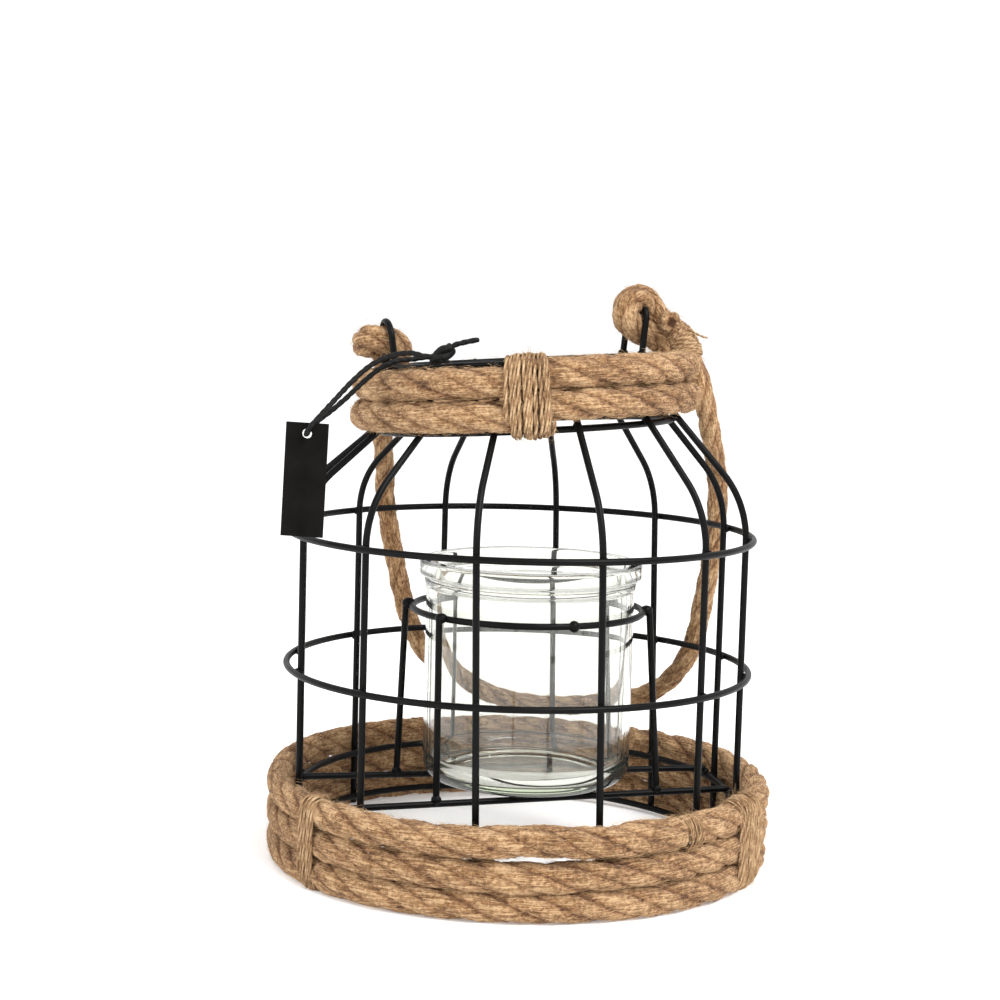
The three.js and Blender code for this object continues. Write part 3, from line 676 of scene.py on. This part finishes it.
def eye_line(angle, top, twist):
    """The line of a wire eye: an upturned U that stands on the top ring."""
    along = polar(angle + 90 + twist, 1.0, 0.0)
    foot = askew(polar(angle, *TOP_RING))[2] + WIRE_R * 0.6

    def place(side, z):
        lean = EYE_LEAN * (z - foot) / (top - foot)
        return polar(angle, TOP_RING[0] + lean, z) + along * side

    arch = top - EYE_HALF
    line = [place(-EYE_HALF, foot), place(-EYE_HALF, (foot + arch) / 2)]
    for turn in np.linspace(0, math.pi, EYE_STEPS):
        line.append(place(-EYE_HALF * math.cos(turn), arch + EYE_HALF * math.sin(turn)))
    line += [place(EYE_HALF, (foot + arch) / 2), place(EYE_HALF, foot)]
    weld(line[0] + EYE_WELD_RISE, EYE_BEAD)
    weld(line[-1] + EYE_WELD_RISE, EYE_BEAD)
    return even(line, 0.8)


HOLDER_AT = np.array((3.9, 0.0, 111.5))
HOLDER_R = 52.0
SUPPORT_Z = 31.8
SUPPORTS = {"front_support_wire": ((11.1, -33.2), 18.5), "rear_support_wire": ((-3.4, 15.9), 12.2)}
FOOT_Z = SUPPORT_Z + 1.7
HEAD_R = HOLDER_R + 3.3
RING_SEAM = 22  # where the holder ring's ends are welded together
# An upright's angle on the holder ring, how far it stands above it, its support, its foot's x
UPRIGHTS = [
    ("holder_upright_left", -93, 0.6, "rear_support_wire", -54),
    ("holder_upright_front", -44.6, 1.5, "front_support_wire", -34),
    ("holder_upright_right", 90, 0.8, "front_support_wire", 64),
    ("holder_upright_rear", 133, 1.5, "rear_support_wire", 48.5),
]


def build_holder():
    for name, ((x, y), slope) in SUPPORTS.items():
        way = np.array((math.cos(math.radians(slope)), math.sin(math.radians(slope))))
        mid = np.array((x, y)) - way * np.dot((x, y), way)
        half = math.sqrt(HOOPS["base_ring_upper"][0] ** 2 - np.dot(mid, mid))
        ends = [np.array((*(mid + way * side * half), SUPPORT_Z)) for side in (-1, 1)]
        wire("round_" + name, even(ends, 4.0), name)
        for end in ends:
            weld(end - np.array((0, 0, 1.6)), SUPPORT_BEAD)
    ring_wire("round_holder_ring", HOLDER_AT + polar(CIRCLE, HOLDER_R, 0.0), "holder_ring")
    weld(HOLDER_AT + polar(RING_SEAM, HOLDER_R + 0.5, 0.0), RING_BEAD)
    for name, angle, above, support, x in UPRIGHTS:
        (x0, y0), slope = SUPPORTS[support]
        foot = np.array((x, y0 + (x - x0) * math.tan(math.radians(slope)), FOOT_Z))
        head = HOLDER_AT + polar(angle, HEAD_R, above)
        wire("round_" + name, even([foot, head], 3.0), name)
        weld(foot, FOOT_BEAD)
        weld(HOLDER_AT + polar(angle, HOLDER_R + 2.0, 0.4), HEAD_BEAD)


build_cage()
for side, shape in EYES.items():
    wire("round_eye_" + side, eye_line(*shape), "handle_eye_" + side)
build_holder()
belongs(beads.put("weld_beads", LACQUER), "cage", "black_wire")

# ------------------------------------------------------------------ glass jar
JAR_AT = np.array((5.0, 0.0, 33.7))
JAR_R, JAR_H, JAR_WALL, JAR_BASE, JAR_RIM = 47.15, 99.9, 3.0, 5.0, 50.5
HEEL, WELL, BEAD, LIP = 8.5, 8, 0.7, 1.6  # radii: outer foot, inner foot, bead below the rim, rim
AXIS_R = 0.01
JAR_SIDES = 160


def arc(centre, radius, start, end, count):
    turns = np.radians(np.linspace(start, end, count))
    return [(centre[0] + radius * math.cos(a), centre[1] + radius * math.sin(a)) for a in turns]


def build_jar():
    r, h, inner, base, rim = JAR_R, JAR_H, JAR_R - JAR_WALL, JAR_BASE, JAR_RIM
    profile = [(AXIS_R, 1.4), (20, 1.3), (33, 0.9), (36.5, 0.0)]
    profile += arc((r - HEEL, HEEL), HEEL, -88, 0, 12)
    profile += [(r, 30), (r, 60), (r, h - 14), (r + 0.1, h - 12.6)]
    for below, start, end in ((10.6, -100, 0), (9.4, 0, 100)):
        profile += arc((r + 0.1, h - below), BEAD, start, end, 5)
    for below, start, end, count in ((5.6, -110, 0, 6), (LIP, 0, 100, 7)):
        profile += arc((rim - LIP, h - below), LIP, start, end, count)
    profile += arc((inner + 1.4, h - 1.2), 1.2, 80, 180, 6)
    profile += [(inner, h - 12), (inner, 60), (inner, 30)]
    profile += arc((inner - WELL, base + WELL), WELL, 0, -88, 10)
    profile += [(30, base), (15, base), (AXIS_R, base)]
    turn = np.linspace(0, TAU, JAR_SIDES, endpoint=False)
    rings = [np.stack([ring_r * np.cos(turn), ring_r * np.sin(turn), np.full(JAR_SIDES, z)], 1)
             for ring_r, z in profile]
    verts = (np.vstack(rings) + JAR_AT) * MM
    last = (len(profile) - 1) * JAR_SIDES
    faces = grid_faces(len(profile), JAR_SIDES)
    faces.append(list(range(JAR_SIDES))[::-1])
    faces.append(list(range(last, last + JAR_SIDES)))
    jar = put_mesh("blown_jar", verts, faces, GLASS)
    belongs(jar, "jar", "clear_glass", "glass_jar")


build_jar()

# ------------------------------------------------------------------ rope turns
ROPE_R = 6.85
ROPE_STEP = 12.9
ROPE_PITCH = 70.0
ROPE_HAIR = 7.0  # loose fibres per mm
ROPE_ENDS = 3.0
BASE_ROPE_R = 109.4
BASE_FIRST_Z = 6.6
BASE_SPANS = [(60.4, 421.6), (60.4, 421.6), (22.0, 398.6)]  # degrees from each turn's start to its end
# The upper turn's free start climbs on the turn below, is drawn inwards and is thin.
FREE_CLIMB, FREE_CLIMB_WIDTH = 4.4, 14.0
FREE_DRAW, FREE_DRAW_WIDTH = 1.8, 13.0
FREE_SHARE, FREE_TAPER = 0.45, 45.0
PARTED_AT, PARTED_WIDTH = 3, 11  # degrees: the middle and upper turns stand apart at the front
MIDDLE_SAG, UPPER_LIFT = -0.8, 2.1
BOW_AT, BOW_WIDTH, BOW = 8, 50, 4.0  # the foot rope bows forwards at the front
INNER_R = 103.0  # the part of the rope inside this radius keeps its shape
FLOOR_EASE = 0.4  # the rope flattens against the floor below this height
LASHED = {"base_lashing_left": (-52.5, -47), "base_lashing_seam": (38, 42),
          "base_lashing_right": (56, 69)}
COLLAR_ROPE_R, COLLAR_FIRST_Z, COLLAR_STEP, COLLAR_RISE = 72.0, 203.7, 13.4, 1.2
COLLAR_STEPS = 540
COLLAR_LASHED = (-6.4, 7.8)


def hump(angle, at, width):
    away = (np.asarray(angle) - at + 180) % 360 - 180
    return np.exp(-((away / width) ** 2))


def flattened(points):
    """Presses the foot rope flat at its left and less so at its right, bows it at the front, and
    keeps it off the floor."""
    r = np.hypot(points[:, 0], points[:, 1])
    angle = np.degrees(np.arctan2(points[:, 0], -points[:, 1]))
    press = 1 - 0.35 * hump(angle, -92, 40) - 0.09 * hump(angle, 92, 40)
    new = np.where(r > INNER_R, INNER_R + (r - INNER_R) * press, r)
    new = new + BOW * hump(angle, BOW_AT, BOW_WIDTH)
    z = points[:, 2]
    z = np.where(z < FLOOR_EASE, FLOOR_EASE * np.exp(np.minimum(z - FLOOR_EASE, 0) / FLOOR_EASE), z)
    return np.stack([points[:, 0] * new / r, points[:, 1] * new / r, z], 1)


def pinched(angle):
    """How thick the foot rope is: thinner under the lashings that go round all its turns."""
    thin = np.zeros_like(angle)
    for a, b in (LASHED["base_lashing_left"], LASHED["base_lashing_right"]):
        away = np.abs((angle - (a + b) / 2 + 180) % 360 - 180) - (b - a) / 2
        thin = np.maximum(thin, 1 / (1 + np.exp((away - 0.6) / 0.5)))
    return 1 - 0.10 * thin


def soft(seed, size):
    """A slow wobble round the ring."""
    made = np.random.default_rng(seed)
    phase = made.uniform(0, TAU, 4)
    part = made.normal(0, size, 4)

    def at(angle):
        a = np.radians(angle)
        return sum(p * np.sin((k + 2) * a + f) for k, (p, f) in enumerate(zip(part, phase)))

    return at


def build_base_rope():
    wobbles = [soft(seed, 0.22) for seed in (3, 5, 8)]
    lifts = [0.0, MIDDLE_SAG, UPPER_LIFT]
    names = ["base_rope_lower", "base_rope_middle", "base_rope_upper"]
    for turn, (name, (start, end), wobble) in enumerate(zip(names, BASE_SPANS, wobbles)):
        angle = np.linspace(start, end, int((end - start) * 1.5))
        z = BASE_FIRST_Z + turn * ROPE_STEP + lifts[turn] * hump(angle, PARTED_AT, PARTED_WIDTH)
        r = BASE_ROPE_R + wobble(angle + 40) + 0.3
        size = ROPE_R * pinched(angle)
        if turn > 0:
            z = z + wobble(angle) * 0.6
        if turn == 2:
            z = z + FREE_CLIMB * np.exp(-(((angle - start) / FREE_CLIMB_WIDTH) ** 2))
            r = r - FREE_DRAW * np.exp(-(((angle - start) / FREE_DRAW_WIDTH) ** 2))
        points = polar(angle, r, z)
        if turn == 2:
            taper = FREE_SHARE + (1 - FREE_SHARE) * lengths(points) / FREE_TAPER
            size = size * np.clip(taper, 0, 1)
        rope, fluff = rope_piece("laid_" + name, points, size, ROPE_PITCH, ROPE_HAIR, warp=flattened,
                                 ends=ROPE_ENDS)
        belongs(rope, "cage", "jute_rope", name)
        belongs(fluff, "cage", "jute_rope")


def build_collar_rope():
    for turn, name in enumerate(("collar_rope_lower", "collar_rope_upper")):
        share = np.linspace(0, 1, COLLAR_STEPS)
        angle = 1.0 + share * 360
        wobble = soft(11 + turn, 0.25)
        slope = (COLLAR_RISE + 0.8) * (1 - 2 * share)
        z = COLLAR_FIRST_Z + turn * COLLAR_STEP + slope + wobble(angle) * 0.6
        inward = 2.6 * hump(angle, 270, 50) if turn else 0.2
        points = askew(polar(angle, COLLAR_ROPE_R + 0.2 - inward + wobble(angle + 70), z))
        rope, fluff = rope_piece("laid_" + name, points, ROPE_R, ROPE_PITCH, ROPE_HAIR, ends=ROPE_ENDS)
        belongs(rope, "cage", "jute_rope", name)
        belongs(fluff, "cage", "jute_rope")


build_base_rope()
build_collar_rope()

# ------------------------------------------------------------------ lashings
TWINE_STEP = 0.8
TWINE_SPACING = 0.92  # in thicknesses
TWINE_LOOSE = 0.12


def stadium(low, high, reach, count=64):
    """One turn of a lashing round rope turns between two heights, as (outward, z) pairs."""
    side = np.linspace(0, 1, count // 4, endpoint=False)
    over = np.linspace(0, math.pi, count // 4, endpoint=False)
    out = np.concatenate([np.full(len(side), reach), reach * np.cos(over),
                          np.full(len(side), -reach), -reach * np.cos(over)])
    z = np.concatenate([low + side * (high - low), high + reach * np.sin(over),
                        high - side * (high - low), low - reach * np.sin(over)])
    return out, z


def lashing(node, span, ring_r, low, high, reach, thick, place=None, warp=None):
    """Twine wound side by side round the rope turns."""
    width = math.radians(span[1] - span[0]) * (ring_r + reach)
    turns = int(round(width / (thick * TWINE_SPACING)))
    out, z = stadium(low, high, reach)
    count = len(out)
    total = turns * count
    i = np.arange(total)
    share = i / total
    angle = span[0] + (span[1] - span[0]) * (0.02 + 0.96 * share)
    angle = angle + wander(total, count // 2, 0.32)
    swell = 1 + 0.05 * np.sin(math.pi * share) + wander(total, count // 3, TWINE_LOOSE / reach)
    middle = (low + high) / 2
    points = polar(angle, ring_r + out[i % count] * swell, middle + (z[i % count] - middle) * swell)
    if place:
        points = place(points)
    points = even(points, TWINE_STEP)
    pile = Pile()
    laid_rope(pile, points, thick / 2, pitch=16.0, strands=2, sides=9, core=0.36, ends=1.0)
    belongs(pile.put("wound_" + node, TWINE, warp), "cage", "jute_twine", node)
    fluff = Pile()
    hair_on(fluff, points, thick / 2, per_mm=0.5, reach=(2.0, 7.0), lift=0.8)
    belongs(fluff.put(f"wound_{node}_hair", HAIR, warp), "cage", "jute_twine")


def build_lashings():
    lowest, highest = BASE_FIRST_Z - 0.3, BASE_FIRST_Z + 2 * ROPE_STEP + 0.1
    for node, low, thick in (("base_lashing_left", lowest, 1.7),
                             ("base_lashing_seam", highest - 0.6, 1.0),
                             ("base_lashing_right", lowest, 1.3)):
        lashing(node, LASHED[node], BASE_ROPE_R, low, highest, reach=6.3, thick=thick, warp=flattened)
    low, high = COLLAR_FIRST_Z - 2.6, COLLAR_FIRST_Z + COLLAR_STEP + 1.4
    lashing("collar_lashing", COLLAR_LASHED, COLLAR_ROPE_R, low, high, reach=ROPE_R + 1.1, thick=1.9,
            place=askew)


build_lashings()

# ------------------------------------------------------------------ handle ends
LEFT_LOOP = [
    (-67, 31, 226), (-62.5, 22, 222.5), (-58, 12.5, 224.3), (-58.4, 5, 228.6), (-64, 1.2, 231.8),
    (-70.6, 3.6, 231.4), (-72.8, 10, 229), (-72.2, 18, 228.5), (-70, 26, 230), (-68.4, 31, 230.4),
]
RIGHT_LOOP = [
    (69, 42.5, 239), (62, 41.5, 242.5), (57.8, 39.8, 248.5), (52.5, 36.5, 252.6), (46.8, 32.8, 250),
    (45.8, 31.8, 244.5), (49.5, 35, 239.4), (55.5, 38.5, 236.6), (62, 42, 233.6), (69.5, 45, 228.5),
]
LEFT_SEIZING = [(-69.8, 21.5, 228), (-68.4, 28, 229), (-67.6, 35, 229.6)]
RIGHT_SEIZING = [(61.5, 42, 241), (68, 43.2, 237), (74, 43.6, 231), (77.6, 43, 224.6)]
ROPE_END = [(61, 43, 240), (65, 37, 241.6), (67, 30, 242)]
STRAY_TWINE = [(72, 41, 239.8), (77, 39, 238.2), (81, 38, 236), (84.5, 37, 235)]


def wound(name, node, route, radius, thick, spacing):
    """A seizing: twine wound round a rope along a line, so many thicknesses apart."""
    line = smooth(route, 0.25)
    along = lengths(line)
    turns = int(along[-1] / (thick * spacing))
    t = np.linspace(0, 1, turns * 28)
    core = np.stack([np.interp(t * along[-1], along, line[:, k]) for k in range(3)], 1)
    _, n, s = frames(core)
    turn = TAU * turns * t
    size = radius * (1 - 0.22 * (2 * t - 1) ** 2) * (1 + wander(len(t), 11, 0.02))
    points = core + size[:, None] * (n * np.cos(turn)[:, None] + s * np.sin(turn)[:, None])
    pile = Pile()
    laid_rope(pile, even(points, TWINE_STEP), thick / 2, pitch=6.5, strands=2, sides=9, core=0.36,
              ends=1.0)
    belongs(pile.put(name, TWINE), "cage", "jute_twine", node)


def build_handle_ends():
    for side, route, radius in (("left", LEFT_LOOP, 6.2), ("right", RIGHT_LOOP, 6.5)):
        rope, fluff = rope_piece(f"jute_loop_{side}", smooth(route, 1.0), radius, pitch=46.0, hair=6.0,
                                 ends=2.5)
        belongs(rope, "cage", "jute_rope", "handle_loop_" + side)
        belongs(fluff, "cage", "jute_rope")
    wound("wound_seizing_left", "handle_seizing_left", LEFT_SEIZING, 6.7, 1.3, 0.95)
    wound("wound_seizing_right", "handle_seizing_right", RIGHT_SEIZING, 7.4, 1.4, 0.62)
    for part in rope_piece("rope_end", smooth(ROPE_END, 0.6), 5.0, pitch=40.0, hair=5.0, ends=0.1):
        belongs(part, "cage", "jute_rope")
    stray = Pile()
    laid_rope(stray, smooth(STRAY_TWINE, 0.5), 0.55, pitch=5.0, strands=2, sides=8, core=0.3, ends=1.0)
    belongs(stray.put("stray_twine", TWINE), "cage", "jute_twine")


build_handle_ends()

# ------------------------------------------------------------------ hang tag
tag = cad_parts["hang_tag"]
tag.data.materials.clear()
tag.data.materials.append(CARD)
edge = tag.modifiers.new("edge", "BEVEL")
edge.width = 0.2 * MM
edge.segments = 2
edge.limit_method = "ANGLE"

# ------------------------------------------------------------------ studio
FLOOR = 6.0
FLOOR_GLOW = 0.24
WORLD_STRENGTH = 1.03
KEY_AT, KEY_WATTS = (0.8, -0.9, 1.4), 31
FILL_AT, FILL_WATTS = (-1.3, -0.9, 0.7), 7
LIGHTS_AIM = Vector((0, 0, 0.12))


def area_light(name, at, size, power):
    data = bpy.data.lights.new(name, "AREA")
    data.shape = "SQUARE"
    data.size = size
    data.energy = power
    obj = bpy.data.objects.new(name, data)
    bpy.context.scene.collection.objects.link(obj)
    obj.location = at
    obj.rotation_euler = (LIGHTS_AIM - Vector(at)).to_track_quat("-Z", "Y").to_euler()


def studio():
    paper = Shader("floor_paper")
    paper.set(Base_Color=(0.93, 0.93, 0.93, 1), Roughness=0.9, Emission_Color=(1, 1, 1, 1),
              Emission_Strength=FLOOR_GLOW)
    corners = [(-FLOOR, -FLOOR, 0), (FLOOR, -FLOOR, 0), (FLOOR, FLOOR, 0), (-FLOOR, FLOOR, 0)]
    floor = put_mesh("floor", corners, [[0, 1, 2, 3]], paper.material, smooth=False)
    world = bpy.data.worlds.new("studio")
    bpy.context.scene.world = world
    world.use_nodes = True
    background = world.node_tree.nodes["Background"]
    background.inputs["Color"].default_value = (1, 1, 1, 1)
    background.inputs["Strength"].default_value = WORLD_STRENGTH
    area_light("key", KEY_AT, 0.9, KEY_WATTS)
    area_light("fill", FILL_AT, 1.0, FILL_WATTS)
    bpy.context.scene.view_settings.view_transform = "Standard"


studio()
